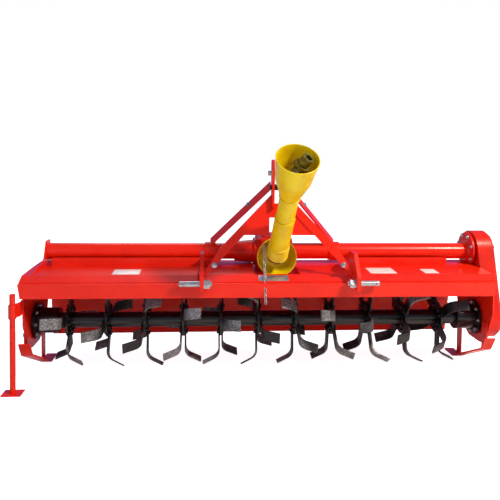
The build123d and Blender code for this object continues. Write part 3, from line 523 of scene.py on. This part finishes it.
def join(parts: Sequence[bpy.types.Object], name: str) -> bpy.types.Object:
    """Joins objects into one piece of that name."""
    bpy.ops.object.select_all(action="DESELECT")
    for part in parts:
        part.select_set(True)
    bpy.context.view_layer.objects.active = parts[0]
    if len(parts) > 1:
        bpy.ops.object.join()
    parts[0].name = name
    parts[0].data.name = name
    return parts[0]


def aim(point: Vector, along: Vector, turn: float = 0.0) -> Matrix:
    """The place of a copy that was modelled at the origin along +Z.

    Args:
        point: where it goes, in metres.
        along: where its +Z points.
        turn: its turn about that direction, in degrees.

    Returns:
        The matrix.
    """
    facing = along.to_track_quat("Z", "Y").to_matrix().to_4x4()
    return Matrix.Translation(point) @ facing @ Matrix.Rotation(math.radians(turn), 4, "Z")


def repeat(pattern: bpy.types.Object, places: Iterable[Matrix], name: str) -> bpy.types.Object:
    """Copies a pattern to each place and joins the copies.

    Args:
        pattern: the object at the origin; its mesh is replaced by the copies, and it becomes the joined
            piece.
        places: a matrix for each copy.
        name: the joined piece's name.

    Returns:
        The joined piece.
    """
    mesh = bmesh.new()
    for place in places:
        copy = pattern.data.copy()
        copy.transform(place)
        mesh.from_mesh(copy)
        bpy.data.meshes.remove(copy)
    mesh.to_mesh(pattern.data)
    mesh.free()
    pattern.name = name
    pattern.data.name = name
    return pattern


def hand_over(piece: bpy.types.Object, finish: Finish, body: Body) -> bpy.types.Object:
    """Dresses a finished piece and sets the body that it rides on."""
    dress(piece, finish)
    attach(piece, body.value)
    LOG.info("%s rides on %s", piece.name, body.value)
    return piece


# ---- what is fastened on ----------------------------------------------------------------------
@dataclass(frozen=True)
class HexBolt:
    """A hexagon head on a washer, with the thread's end proud where it is a nut."""

    across: float = 19.0
    height: float = 9.0
    washer_radius: float = 14.0
    washer: float = 2.5
    thread: float = 0.0

    def pattern(self) -> bpy.types.Object:
        """Models one bolt at the origin, standing along +Z."""
        up = Vector((0, 0, 1))
        flat = turned(self.washer_radius, self.washer, up * self.washer / 2 * MM, up, 20, 0.6)
        head = turned(
            self.across / math.sqrt(3), self.height, up * (self.washer + self.height / 2) * MM, up, 6, 1.2
        )
        parts = [head, flat]
        if self.thread:
            top = self.washer + self.height + self.thread / 2
            parts.append(turned(self.across * 0.3, self.thread, up * top * MM, up, 14, 0.8))
        return join(parts, "bolt")


@dataclass(frozen=True)
class BoltGroup:
    """Bolts of one kind on one body: their feet, and the way that they point."""

    name: str
    bolt: HexBolt
    finish: Finish
    body: Body
    feet: tuple[tuple[Place, Place], ...]

    def build(self) -> None:
        """Models the bolt once and sets a copy at each foot."""
        places = [
            aim(at(*foot), Vector(way), 17.0 * number) for number, (foot, way) in enumerate(self.feet)
        ]
        hand_over(repeat(self.bolt.pattern(), places, self.name), self.finish, self.body)


def circle_of_bolts(
    centre: Place, radius: float, count: int, way: Place, start: float = 0.0, stop: float = 360.0
) -> tuple[tuple[Place, Place], ...]:
    """Feet of bolts on an arc in a plane square to x.

    Args:
        centre: the circle's middle.
        radius: its radius.
        count: how many bolts.
        way: where they point.
        start: the first one's angle in degrees, from +y towards +z.
        stop: the angle that the arc runs to; a full turn leaves its last place free.

    Returns:
        Pairs of foot and direction.
    """
    gaps = count if stop - start >= 360 else count - 1
    feet = []
    for number in range(count):
        turn = math.radians(start + (stop - start) * number / gaps)
        feet.append(
            ((centre[0], centre[1] + radius * math.cos(turn), centre[2] + radius * math.sin(turn)), way)
        )
    return tuple(feet)


@dataclass
class Fasteners:
    """Bolts of the housings and the side plate, in rings and rows; the rest are SeatedFasteners."""

    plate_x: float = 1240.0
    housing_x: float = 1252.0
    housing_bolt_radius: float = 79.0
    lid_x: float = 1361.0
    tube_axis: tuple[float, float] = (115.0, 360.0)
    lid_top_radius: float = 94.0
    lid_bottom_radius: float = 89.0
    flange_face: float = 97.0
    flange_bolt_radius: float = 72.0
    lap: float = 8.0

    def build(self) -> None:
        """Sets every group of bolts."""
        left, right = (-1, 0, 0), (1, 0, 0)
        small = HexBolt(17, 8, 12, 2)
        groups = (
            BoltGroup(
                "left_housing_bolts", HexBolt(), ZINC, Body.FRAME,
                circle_of_bolts((-self.housing_x, 0, 0), self.housing_bolt_radius, 6, left, 30),
            ),
            BoltGroup(
                "gear_case_bolts", HexBolt(17, 5, 12, 1.5), CAST_ENAMEL, Body.FRAME,
                circle_of_bolts((self.lid_x, *self.tube_axis), self.lid_top_radius, 6, right, -20, 200)
                + circle_of_bolts((self.lid_x, 0, 0), self.lid_bottom_radius, 5, right, 200, 340),
            ),
            BoltGroup(
                "gearbox_left_bolts", small, CAST_ENAMEL, Body.FRAME,
                circle_of_bolts(
                    (HITCH_X - self.flange_face, *self.tube_axis), self.flange_bolt_radius, 8, right, 22
                ),
            ),
            BoltGroup(
                "side_plate_bolts", HexBolt(), ZINC, Body.FRAME,
                (
                    ((-self.plate_x, -185, 150), left),
                    ((-self.plate_x, -185, 105), left),
                    ((-self.plate_x, -150, 40), left),
                    ((-self.plate_x - self.lap, -130, -40), left),
                    ((-self.plate_x - self.lap, 178, -45), left),
                ),
            ),
        )
        for group in groups:
            group.build()


def seat(node: str, near: Place, turn: float = 0.0) -> Matrix:
    """A place on the surface of a CAD node, facing out of it.

    Args:
        node: the node's name.
        near: a point beside the surface.
        turn: the turn about the surface's normal, in degrees.

    Returns:
        The place of a copy that was modelled at the origin along +Z.
    """
    target = frame["nodes"][node]
    into = target.matrix_world.inverted()
    found, point, normal, _ = target.closest_point_on_mesh(into @ at(*near))
    if not found:
        raise ValueError(f"{node} has no surface near {near}")
    return aim(target.matrix_world @ point, (target.matrix_world.to_3x3() @ normal).normalized(), turn)


@dataclass
class SeatedFasteners:
    """Bolts of the leaning struts, and black discs of painted shade for the stand's pin holes, set on the
    metal itself.
    """

    bolt: HexBolt = HexBolt(19, 9, 14, 2.5)
    hole_radius: float = 3.2
    # the thickness of the black discs of painted shade at the stand's pin holes
    shade_disc_thickness: float = 0.2
    strut_seats: tuple[tuple[str, Place], ...] = (
        ("left_rear_strut", (-76.0, -59.0, 647.0)),
        ("left_rear_strut", (-150.0, 40.0, 520.0)),
        ("right_rear_strut", (230.0, -59.0, 647.0)),
        ("right_rear_strut", (304.0, 40.0, 520.0)),
        ("left_front_strut", (-262.0, -250.0, 350.0)),
        ("right_front_strut", (416.0, -250.0, 350.0)),
    )
    hub_bolt: HexBolt = HexBolt(15, 8, 11, 2)
    hub_bolts: int = 8
    hub_bolt_radius: float = 82.0
    hub_left_x: float = -1209.0
    hub_right_x: float = 1228.0
    stand_x: float = -1265.0
    stand_front: float = -300.0
    stand_holes: tuple[float, ...] = (53.0, -30.0, -115.0)

    def build(self) -> None:
        """Sets the bolts, and black discs of painted shade where the stand's holes are."""
        bolts = [seat(node, near, 23.0 * number) for number, (node, near) in enumerate(self.strut_seats)]
        hand_over(repeat(self.bolt.pattern(), bolts, "strut_bolts"), ZINC, Body.FRAME)
        hubs = []
        for near_x, node in ((self.hub_left_x, "left_rotor_hub"), (self.hub_right_x, "right_rotor_hub")):
            for number in range(self.hub_bolts):
                turn = math.tau * number / self.hub_bolts
                across, above = (self.hub_bolt_radius * way(turn) for way in (math.cos, math.sin))
                place = seat(node, (near_x, across, above))
                if abs((place.to_3x3() @ Vector((0, 0, 1))).x) < 0.9:
                    raise ValueError(f"a bolt of {node} would not sit on the disc's flat face")
                hubs.append(place)
        hand_over(repeat(self.hub_bolt.pattern(), hubs, "hub_bolts"), ZINC, Body.ROTOR)
        # thin black discs on the stand's face: painted shade standing for the dark insides of its pin holes
        up = Vector((0, 0, 1))
        rim = turned(self.hole_radius, self.shade_disc_thickness, up * self.shade_disc_thickness / 2 * MM, up, 20, 0.05)
        spots = [(self.stand_x, self.stand_front, height) for height in self.stand_holes]
        holes = [seat("parking_stand", spot) for spot in spots]
        hand_over(repeat(rim, holes, "stand_holes"), BLACK, Body.STAND)


@dataclass
class RotorBolts:
    """Two bolts through each blade's shank and the ring that it is fastened to."""

    rings: int = 11
    pitch: float = 206.5
    offset: float = -14.0
    blades_per_ring: int = 6
    helix_step: float = 16.0
    first_angle: float = 41.0
    shank_face: float = 14.0
    ring_face: float = 6.0
    radius: float = 72.0
    spacing: float = 15.0

    def build(self) -> None:
        """Sets a head on each shank and a nut on the ring behind it."""
        places = []
        for number in range(self.rings):
            ring_x = self.offset + (number - (self.rings - 1) / 2) * self.pitch
            for blade in range(self.blades_per_ring):
                turn = math.radians(
                    180 - (self.first_angle - number * self.helix_step + blade * 360 / self.blades_per_ring)
                )
                side = 1 if blade % 2 == 0 else -1
                outward = Vector((0, -math.sin(turn), math.cos(turn)))
                sideways = Vector((0, math.cos(turn), math.sin(turn)))
                for shift in (-self.spacing, self.spacing):
                    foot = outward * self.radius + sideways * shift
                    for face, way in ((self.shank_face, side), (-self.ring_face, -side)):
                        point = at(ring_x + side * face, foot.y, foot.z)
                        places.append(aim(point, Vector((way, 0, 0)), 30 * number))
        pattern = turned(9.5, 9, Vector((0, 0, 4.5)) * MM, Vector((0, 0, 1)), 6, 1.2)
        hand_over(repeat(pattern, places, "blade_bolts"), BLACK, Body.ROTOR)


@dataclass
class BlankPlates:
    """Labels and a type plate, left blank, on the hood."""

    thickness: float = 1.0
    flat_start: tuple[float, float] = (-178.0, 286.0)
    flat_end: tuple[float, float] = (28.0, 293.0)
    slope_start: tuple[float, float] = (-230.0, 261.0)

    def plate(
        self,
        name: str,
        finish: Finish,
        x: tuple[float, float],
        low: tuple[float, float],
        high: tuple[float, float],
    ) -> None:
        """One rounded plate on a panel of the hood.

        Args:
            name: the piece's name.
            finish: its finish.
            x: its left and right edges.
            low: y and z of its front edge.
            high: y and z of its rear edge.
        """
        middle = (x[0] + x[1]) / 2
        made = bar(
            at(middle, low[0], low[1] + self.thickness / 2),
            at(middle, high[0], high[1] + self.thickness / 2),
            x[1] - x[0],
            self.thickness,
            Vector((0, 0, 1)),
        )
        hand_over(join([made], name), finish, Body.FRAME)

    def on_flat(self, y: float) -> tuple[float, float]:
        """y and z on the hood's flat panel."""
        share = (y - self.flat_start[0]) / (self.flat_end[0] - self.flat_start[0])
        return y, self.flat_start[1] + share * (self.flat_end[1] - self.flat_start[1])

    def on_slope(self, y: float) -> tuple[float, float]:
        """y and z on the hood's steep front panel."""
        share = (y - self.slope_start[0]) / (self.flat_start[0] - self.slope_start[0])
        return y, self.slope_start[1] + share * (self.flat_start[1] - self.slope_start[1])

    def build(self) -> None:
        """Lays the four plates."""
        self.plate("left_label", BLANK_LABEL, (-797, -655), self.on_flat(-162), self.on_flat(-60))
        self.plate("middle_label", BLANK_LABEL, (586, 731), self.on_flat(-162), self.on_flat(-40))
        self.plate("right_label", BLANK_LABEL, (888, 967), self.on_flat(-160), self.on_flat(-70))
        self.plate("type_plate", BLANK_PLATE, (-29, 129), self.on_slope(-226), self.on_slope(-184))


@dataclass
class SafetyChains:
    """The zinc chain that keeps the shaft's guard from turning."""

    wire: float = 2.2
    link_radius: float = 6.5
    stretch: float = 7.0

    def link(self) -> bpy.types.Object:
        """One oblong link, lying along x."""
        made = ring(self.link_radius, self.wire, Vector((0, 0, 0)), Vector((0, 0, 1)), 12, 6)
        select_only(made)
        for way in (-1, 1):
            bpy.ops.object.mode_set(mode="EDIT")
            bpy.ops.mesh.select_all(action="DESELECT")
            mesh = bmesh.from_edit_mesh(made.data)
            for vertex in mesh.verts:
                vertex.select = vertex.co.x * way > 1e-5
            mesh.select_flush_mode()
            bmesh.update_edit_mesh(made.data)
            bpy.ops.transform.translate(value=(way * self.stretch / 2 * MM, 0, 0))
            bpy.ops.object.mode_set(mode="OBJECT")
        return made

    def chain(self, name: str, path: Sequence[Vector], sag: float) -> None:
        """Sets links along straight runs that sag between their ends.

        Args:
            name: the piece's name.
            path: the ends of the runs, in metres.
            sag: how far the middle of each run hangs down, in millimetres.
        """
        pitch = (2 * self.link_radius + self.stretch - 2 * self.wire) * MM
        places = []
        for start, end in zip(path, path[1:]):
            count = max(2, round((end - start).length / pitch))
            points = []
            for number in range(count + 1):
                share = number / count
                drop = Vector((0, 0, -sag * MM * 4 * share * (1 - share)))
                points.append(start.lerp(end, share) + drop)
            for number, (low, high) in enumerate(zip(points, points[1:])):
                along = (high - low).normalized()
                side = along.orthogonal().normalized()
                if number % 2:
                    side = along.cross(side)
                turn = Matrix((along, side, along.cross(side))).transposed().to_4x4()
                places.append(Matrix.Translation((low + high) / 2) @ turn)
        hand_over(repeat(self.link(), places, name), ZINC, Body.FRAME)

    def build(self) -> None:
        """Hangs the chain beside the shaft, clear of its swing."""
        self.chain("cup_chain", (at(3, -150, 446), at(2, -212, 300), at(2, -284, 160)), 4)


@dataclass
class ShaftTrim:
    """Bellows, bands and lips of the guarded drive shaft."""

    shield_radius: float = 52.0
    bell_start: float = 470.0
    mouth: float = 720.0
    mouth_radius: float = 103.0
    joint_line: float = 315.0
    bellows_start: float = 16.0
    bellows_pitch: float = 13.0
    bellows_ribs: int = 6
    rib_height: float = 5.0
    bellows_wall: float = 1.0
    rib_shape: tuple[tuple[float, float], ...] = (
        (0.0, 0.0), (0.2, 0.15), (0.35, 0.9), (0.5, 1.0), (0.65, 0.9), (0.8, 0.15)
    )

    def bellows(self) -> bpy.types.Object:
        """A closed, ribbed sleeve over the inner joint."""
        outside = []
        for rib in range(self.bellows_ribs):
            foot = self.bellows_start + rib * self.bellows_pitch
            for share, lift in self.rib_shape:
                radius = self.shield_radius + self.bellows_wall + lift * self.rib_height
                outside.append((foot + share * self.bellows_pitch, radius))
        lining = self.shield_radius - self.bellows_wall
        inside = [(outside[-1][0], lining), (outside[0][0], lining)]
        return lathe(outside + inside + outside[:1], JOINT_CENTRE, SHAFT_ALONG)

    def build(self) -> None:
        """Models the trim of each part of the shaft."""
        band = turned(self.shield_radius + 5, 12, on_shaft(102), SHAFT_ALONG, 48, 2.5)
        hand_over(join([self.bellows()], "joint_bellows"), GUARD, Body.INNER_SHAFT)
        hand_over(join([band], "bellows_band"), GUARD, Body.INNER_SHAFT)
        rims = [
            ring(self.mouth_radius - 1.5, 2.6, on_shaft(self.mouth - 2), SHAFT_ALONG, 64),
            ring(self.shield_radius - 1, 3, on_shaft(self.bell_start + 2), SHAFT_ALONG, 48),
            ring(self.shield_radius - 0.5, 1.4, on_shaft(self.joint_line), SHAFT_ALONG, 48),
        ]
        hand_over(join(rims, "shield_rims"), GUARD, Body.OUTER_SHAFT)


@dataclass
class CaseFlange:
    """The round flange by which the cross tube is bolted to the gear case, above the deck."""

    face_x: float = 1236.0
    thickness: float = 14.0
    radius: float = 103.0
    bolt_radius: float = 89.0
    centre: tuple[float, float] = (115.0, 367.0)
    deck_z: float = 294.0

    def build(self) -> None:
        """Models the flange, cut off at the deck, and its bolts."""
        middle = at(self.face_x + self.thickness / 2, *self.centre)
        disc = turned(self.radius, self.thickness, middle, Vector((1, 0, 0)), 64, 2)
        mesh = bmesh.new()
        mesh.from_mesh(disc.data)
        geometry = mesh.verts[:] + mesh.edges[:] + mesh.faces[:]
        cut = bmesh.ops.bisect_plane(
            mesh, geom=geometry, plane_co=at(0, 0, self.deck_z), plane_no=(0, 0, 1), clear_inner=True
        )
        rim = [part for part in cut["geom_cut"] if isinstance(part, bmesh.types.BMEdge)]
        bmesh.ops.contextual_create(mesh, geom=rim)
        mesh.to_mesh(disc.data)
        mesh.free()
        hand_over(join([disc], "case_flange"), CAST_ENAMEL, Body.FRAME)
        bolts = BoltGroup(
            "case_flange_bolts", HexBolt(17, 8, 12, 2), ZINC, Body.FRAME,
            circle_of_bolts((self.face_x, *self.centre), self.bolt_radius, 6, (-1, 0, 0), -28, 208),
        )
        bolts.build()


@dataclass
class WeldBeads:
    """Fillet welds: rows of overlapping scales along the seams."""

    pitch: float = 5.0
    width: float = 4.5
    twist: float = 40.0
    plate_spread: float = 412.0
    plate_half: float = 12.0

    def seam(self, ends: tuple[Place, Place]) -> list[Matrix]:
        """The places of the scales along one straight seam."""
        start, end = (at(*place) for place in ends)
        count = max(2, round((end - start).length / (self.pitch * MM)))
        way = end - start
        return [aim(start.lerp(end, step / count), way, self.twist * step) for step in range(count + 1)]

    def build(self) -> None:
        """Lays the seams of both hitch plates."""
        seams = []
        for side in (-1, 1):
            plate = HITCH_X + side * self.plate_spread
            for face in (-self.plate_half, self.plate_half):
                seams.append(((plate + face, -232, 262), (plate + face, -180, 288)))
                seams.append(((plate + face, -180, 288), (plate + face, 20, 294)))
        bpy.ops.object.select_all(action="DESELECT")
        bpy.ops.mesh.primitive_uv_sphere_add(segments=10, ring_count=6, radius=self.width * MM)
        scale = bpy.context.object
        bpy.ops.object.shade_smooth()
        places = [place for ends in seams for place in self.seam(ends)]
        hand_over(repeat(scale, places, "weld_beads"), CAST_ENAMEL, Body.FRAME)


# ---- room, light and camera -------------------------------------------------------------------
@dataclass
class Studio:
    """The pale floor, the soft lamps and the camera."""

    eye: Place = (-294.7, -3108.1, 945.8)
    heading: float = 4.2
    dip: float = 2.5
    roll: float = 0.72
    lens: float = 40.32
    rise: float = -0.1511
    background: str = "#FFFFFF"
    floor_colour: str = "#F4F3F1"
    floor_lift: float = 0.9

    def floor(self) -> None:
        """A wide pale floor under the machine."""
        bpy.ops.object.select_all(action="DESELECT")
        bpy.ops.mesh.primitive_plane_add(size=60)
        ground = bpy.context.object
        ground.name = "floor"
        material, tree, shader, coords = start_material("pale_floor", {"Roughness": 0.9})
        shade = add_node(tree, "ShaderNodeTexNoise", {"Scale": 1.5, "Detail": 2.0}, {"Vector": coords})
        tint = add_node(tree, "ShaderNodeValToRGB", links={"Fac": shade.outputs[0]})
        tint.color_ramp.elements[0].color = linear(self.floor_colour)
        tint.color_ramp.elements[1].color = linear(self.background)
        tree.links.new(tint.outputs[0], shader.inputs["Base Color"])
        seen = add_node(tree, "ShaderNodeLightPath")
        lift = add_node(
            tree,
            "ShaderNodeMath",
            {"operation": "MULTIPLY", 1: self.floor_lift},
            {0: seen.outputs["Is Camera Ray"]},
        )
        tree.links.new(lift.outputs[0], shader.inputs["Emission Strength"])
        shader.inputs["Emission Color"].default_value = linear(self.background)
        ground.data.materials.append(material)

    def world(self) -> None:
        """Even light all round, and a white background where it is seen."""
        world = bpy.data.worlds.new("studio")
        bpy.context.scene.world = world
        world.use_nodes = True
        tree = world.node_tree
        tree.nodes.clear()
        seen = add_node(tree, "ShaderNodeLightPath")
        either = add_node(
            tree,
            "ShaderNodeMath",
            {"operation": "MAXIMUM"},
            {0: seen.outputs["Is Camera Ray"], 1: seen.outputs["Is Transmission Ray"]},
        )
        white = add_node(tree, "ShaderNodeBackground", {"Color": linear(self.background), "Strength": 1.0})
        way = add_node(tree, "ShaderNodeTexCoord").outputs["Generated"]
        sides = add_node(tree, "ShaderNodeSeparateXYZ", links={"Vector": way})
        behind = add_node(
            tree, "ShaderNodeMapRange", {"From Min": 0.3, "From Max": 0.9}, {"Value": sides.outputs["Y"]}
        )
        sky = add_node(
            tree,
            "ShaderNodeMix",
            {"data_type": "RGBA", 6: linear("#DCE4FA"), 7: linear("#7F92FF")},
            {0: behind.outputs[0]},
        )
        soft = add_node(tree, "ShaderNodeBackground", {"Strength": 0.38}, {"Color": sky.outputs[2]})
        mixed = add_node(
            tree,
            "ShaderNodeMixShader",
            links={0: either.outputs[0], 1: soft.outputs[0], 2: white.outputs[0]},
        )
        add_node(tree, "ShaderNodeOutputWorld", links={"Surface": mixed.outputs[0]})

    def lamp(self, name: str, point: Place, size: float, power: float, colour: str) -> None:
        """One soft square lamp that looks at the machine.

        Args:
            name: its name.
            point: its place.
            size: its side in metres.
            power: its power in watts.
            colour: its colour.
        """
        light = bpy.data.lights.new(name, "AREA")
        light.shape = "SQUARE"
        light.size = size
        light.energy = power
        light.color = linear(colour)[:3]
        placed = bpy.data.objects.new(name, light)
        bpy.context.scene.collection.objects.link(placed)
        placed.location = at(*point)
        aim_at = at(0, 0, 200) - placed.location
        placed.rotation_euler = aim_at.to_track_quat("-Z", "Y").to_euler()

    def camera(self) -> None:
        """The camera, at its place and turned as the view asks."""
        heading, dip, roll = (math.radians(v) for v in (self.heading, self.dip, self.roll))
        forward = Vector(
            (math.sin(heading) * math.cos(dip), math.cos(heading) * math.cos(dip), -math.sin(dip))
        )
        level = Vector((math.cos(heading), -math.sin(heading), 0))
        upright = level.cross(forward)
        right = level * math.cos(roll) + upright * math.sin(roll)
        up = upright * math.cos(roll) - level * math.sin(roll)
        data = bpy.data.cameras.new("camera")
        data.lens = self.lens
        data.sensor_width = 36
        data.shift_y = self.rise
        data.clip_end = 200
        camera = bpy.data.objects.new("camera", data)
        bpy.context.scene.collection.objects.link(camera)
        turn = Matrix((right, up, -forward)).transposed().to_4x4()
        camera.matrix_world = Matrix.Translation(at(*self.eye)) @ turn
        bpy.context.scene.camera = camera

    def build(self) -> None:
        """Sets up the whole studio."""
        self.floor()
        self.world()
        self.lamp("key", (3300, -3000, 4300), 0.5, 330, "#FFEFDA")
        self.lamp("fill", (-3600, -3800, 1600), 3.0, 34, "#E0E6FF")
        self.lamp("back", (-800, 3600, 3600), 2.5, 60, "#FFFFFF")
        self.camera()
        bpy.context.scene.view_settings.view_transform = "Standard"


# ---- finishes of the CAD nodes ----------------------------------------------------------------
NODE_FINISHES: dict[Finish, tuple[str, ...]] = {
    CAST_ENAMEL: ("gearbox", "gearbox_lid", "gear_case", "gear_case_lid", "bearing_housing"),
    BLACK: ("rotor_tube", "left_rotor_hub", "right_rotor_hub", "blade_flanges", "mast_spacer"),
    ZINC: ("left_lower_pin", "right_lower_pin", "top_link_pin"),
    BARE: ("inner_cross", "outer_cross"),
    FORGED: ("input_yoke", "inner_yoke", "outer_yoke", "tractor_yoke"),
    GUARD: ("guard_cup", "inner_shield", "outer_shield"),
    BLADE: ("blades",),
}


def dress_nodes() -> None:
    """Gives every CAD node its finish; what isn't listed is orange-red enamel."""
    listed = {node: finish for finish, nodes in NODE_FINISHES.items() for node in nodes}
    for name, node in frame["nodes"].items():
        dress(node, listed.get(name, ENAMEL))
    LOG.info("%d nodes are dressed", len(frame["nodes"]))


def main() -> None:
    """Builds the studio and every sub-assembly."""
    Studio().build()
    dress_nodes()
    parts = (
        Fasteners(),
        SeatedFasteners(),
        RotorBolts(),
        BlankPlates(),
        SafetyChains(),
        ShaftTrim(),
        CaseFlange(),
        WeldBeads(),
    )
    for part in parts:
        part.build()


if __name__ == "__main__":
    logging.basicConfig(level=logging.INFO)
    main()
